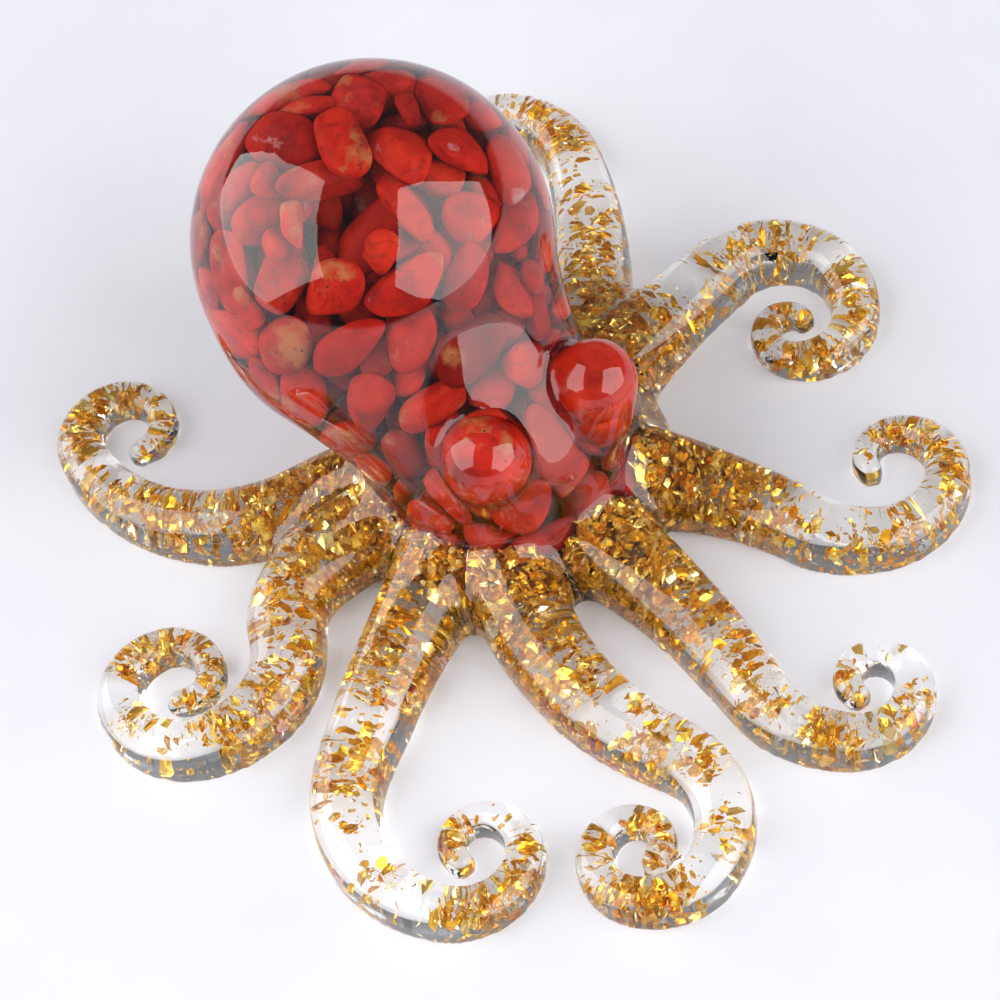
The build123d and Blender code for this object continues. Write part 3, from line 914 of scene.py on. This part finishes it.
# %% Scatter the leaf
LEAF_SIZE = 0.40 * MM
LEAF_THICKNESS = 0.04 * MM
LEAF_WALL = 1.0 * MM
LEAF_COVER = 0.35 * MM
CRUMPLE = 0.8 * MM
ARM_DENSITY, HUB_DENSITY = 2.5e6, 2.7e6
ARM_DEPTHS, HUB_DEPTHS = (0.09, 0.48), (0.0, 0.9)
LEAF_SEED = 40


def gold_leaf(node, group, density, depths, seed):
    """The leaf inside the solid that a gold-leaf node belongs to."""
    solid = bpy.data.meshes.new(node)
    shell = outer_shell(node.replace("_gold_leaf", ""))
    shell.to_mesh(solid)
    shell.free()
    piece = add_object(node.replace("gold_leaf", "crumpled_leaf"), solid)
    scatter = piece.modifiers.new("leaf", "NODES")
    scatter.node_group = group
    values = {"Wall": LEAF_WALL, "Shallowest": depths[0], "Deepest": depths[1], "Density": density,
              "Leaf size": LEAF_SIZE, "Thickness": LEAF_THICKNESS, "Crumple": CRUMPLE, "Seed": seed}
    for socket in group.interface.items_tree:
        if socket.in_out == "INPUT" and socket.name in values:
            scatter[socket.identifier] = values[socket.name]
    leaf = evaluated_mesh(piece)
    piece.modifiers.remove(scatter)
    leaf.vertices.foreach_set("co", tucked(flared(points_of(leaf)), LEAF_COVER).ravel())
    leaf.update()
    piece.data = leaf
    return piece


leaf_group = leaf_tree(gold)
leaves = {}
for count, node in enumerate(GOLD_NODES):
    spread = (HUB_DENSITY, HUB_DEPTHS) if node.startswith("hub") else (ARM_DENSITY, ARM_DEPTHS)
    leaves[node] = gold_leaf(node, leaf_group, *spread, LEAF_SEED + count)
print("leaf faces:", {piece.name: len(piece.data.polygons) for piece in leaves.values()})

# %% [markdown]
# ## Light and floor
#
# The reflections on the head show two large softboxes, one on each side, over a pale
# sweep. The floor is a wide plane of pale paper, so its colour gives the background and no
# extra light is needed. Far away it would darken towards a horizon, so there the camera
# alone sees an even pale tone instead, which lights nothing.

# %% Floor
FLOOR_SIZE = 12.0
FLOOR_DROP = 0.05 * MM
PALE = (0.86, 0.87, 0.91, 1)
PAPER_SHADE, PAPER_LIGHT = (0.75, 0.76, 0.81), (0.78, 0.79, 0.835)
FIBRE_SCALE, FIBRE_DETAIL, PAPER_ROUGHNESS = 40.0, 2.0, 0.7
NEAR_FLOOR, FAR_FLOOR = 0.25, 0.8


def floor_finish():
    """Pale lavender-white paper, which fades into an even background far away."""
    material, tree, shader, output = new_material("pale_paper")
    place = tree.add("ShaderNodeTexCoord").outputs["Object"]
    fibre = tree.add("ShaderNodeTexNoise", Vector=place, Scale=FIBRE_SCALE, Detail=FIBRE_DETAIL)
    tree.set(shader, "Base Color", ramp(tree, fibre.outputs[0], (0.3, PAPER_SHADE), (0.7, PAPER_LIGHT)))
    shader.inputs["Roughness"].default_value = PAPER_ROUGHNESS
    span = tree.add("ShaderNodeVectorMath", operation="LENGTH")
    tree.set(span, 0, place)
    far = tree.add("ShaderNodeMapRange", Value=span.outputs[1], From_Min=NEAR_FLOOR, From_Max=FAR_FLOOR)
    seen = tree.add("ShaderNodeLightPath").outputs["Is Camera Ray"]
    glow = tree.add("ShaderNodeEmission", Color=PALE)
    both = tree.add("ShaderNodeMixShader")
    tree.set(both, 0, maths(tree, "MULTIPLY", far.outputs[0], seen))
    tree.set(both, 1, shader.outputs[0])
    tree.set(both, 2, glow.outputs[0])
    tree.set(output, "Surface", both.outputs[0])
    return material


floor_mesh = bpy.data.meshes.new("floor")
half_floor = FLOOR_SIZE / 2
floor_mesh.from_pydata([(-half_floor, -half_floor, 0), (half_floor, -half_floor, 0),
                        (half_floor, half_floor, 0), (-half_floor, half_floor, 0)],
                       [], [(0, 1, 2, 3)])
floor_mesh.materials.append(floor_finish())
floor = add_object("floor", floor_mesh)
floor.location.z = -FLOOR_DROP
print("floor:", FLOOR_SIZE, "m wide")

# %% [markdown]
# Each softbox is an area lamp. Where its reflection sits on the round head tells its
# direction, and how wide the reflection is tells its size. The directions are written in
# the camera's own axes: right, up and towards the viewer.

# %% Softboxes
HEAD_MIDDLE = Vector((-1.6, 21, 33.5)) * MM
BOX_DISTANCE = 1.00
BOXES = {
    "left_softbox": {"way": (-0.953, 0.09, 0.287), "size": (1.76, 1.44), "watts": 24.2},
    "right_softbox": {"way": (0.76, -0.05, 0.645), "size": (1.20, 1.32), "watts": 16.8},
}
view_axes = facing.to_3x3()
view_up = view_axes @ Vector((0, 1, 0))
for name, box in BOXES.items():
    lamp_data = bpy.data.lights.new(name, "AREA")
    lamp_data.shape = "RECTANGLE"
    lamp_data.size, lamp_data.size_y = box["size"]
    lamp_data.energy = box["watts"]
    lamp = bpy.data.objects.new(name, lamp_data)
    scene.collection.objects.link(lamp)
    away = (view_axes @ Vector(box["way"])).normalized()
    across = view_up.cross(away).normalized()
    axes = Matrix((across, away.cross(across), away)).transposed()
    lamp.matrix_world = Matrix.Translation(HEAD_MIDDLE + away * BOX_DISTANCE) @ axes.to_4x4()
    print(name, "at", [round(v / MM) for v in lamp.matrix_world.translation], "mm")

# %% Room light
DOME = ((0.0, (0.12, 0.12, 0.13)), (0.35, (0.14, 0.145, 0.16)), (0.8, (0.15, 0.155, 0.17)))

world = bpy.data.worlds.new("studio")
world.use_nodes = True
sky = Tree(world.node_tree)
upward = sky.add("ShaderNodeSeparateXYZ", Vector=sky.add("ShaderNodeTexCoord").outputs["Generated"])
dome = ramp(sky, upward.outputs["Z"], *DOME)
seen = sky.add("ShaderNodeLightPath").outputs["Is Camera Ray"]
sky.set(world.node_tree.nodes["Background"], "Color", blend(sky, seen, dome, PALE))
scene.world = world
scene.view_settings.view_transform = "Standard"
print("world:", world.name)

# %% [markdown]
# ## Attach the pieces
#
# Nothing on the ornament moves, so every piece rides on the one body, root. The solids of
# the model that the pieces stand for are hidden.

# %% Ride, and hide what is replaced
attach(casting, "root")
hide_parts("mantle", "hub", *ARMS)
for node, piece in pebbles.items():
    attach(piece, "root")
    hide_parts(node)
for node, piece in leaves.items():
    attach(piece, "root")
    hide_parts(node)
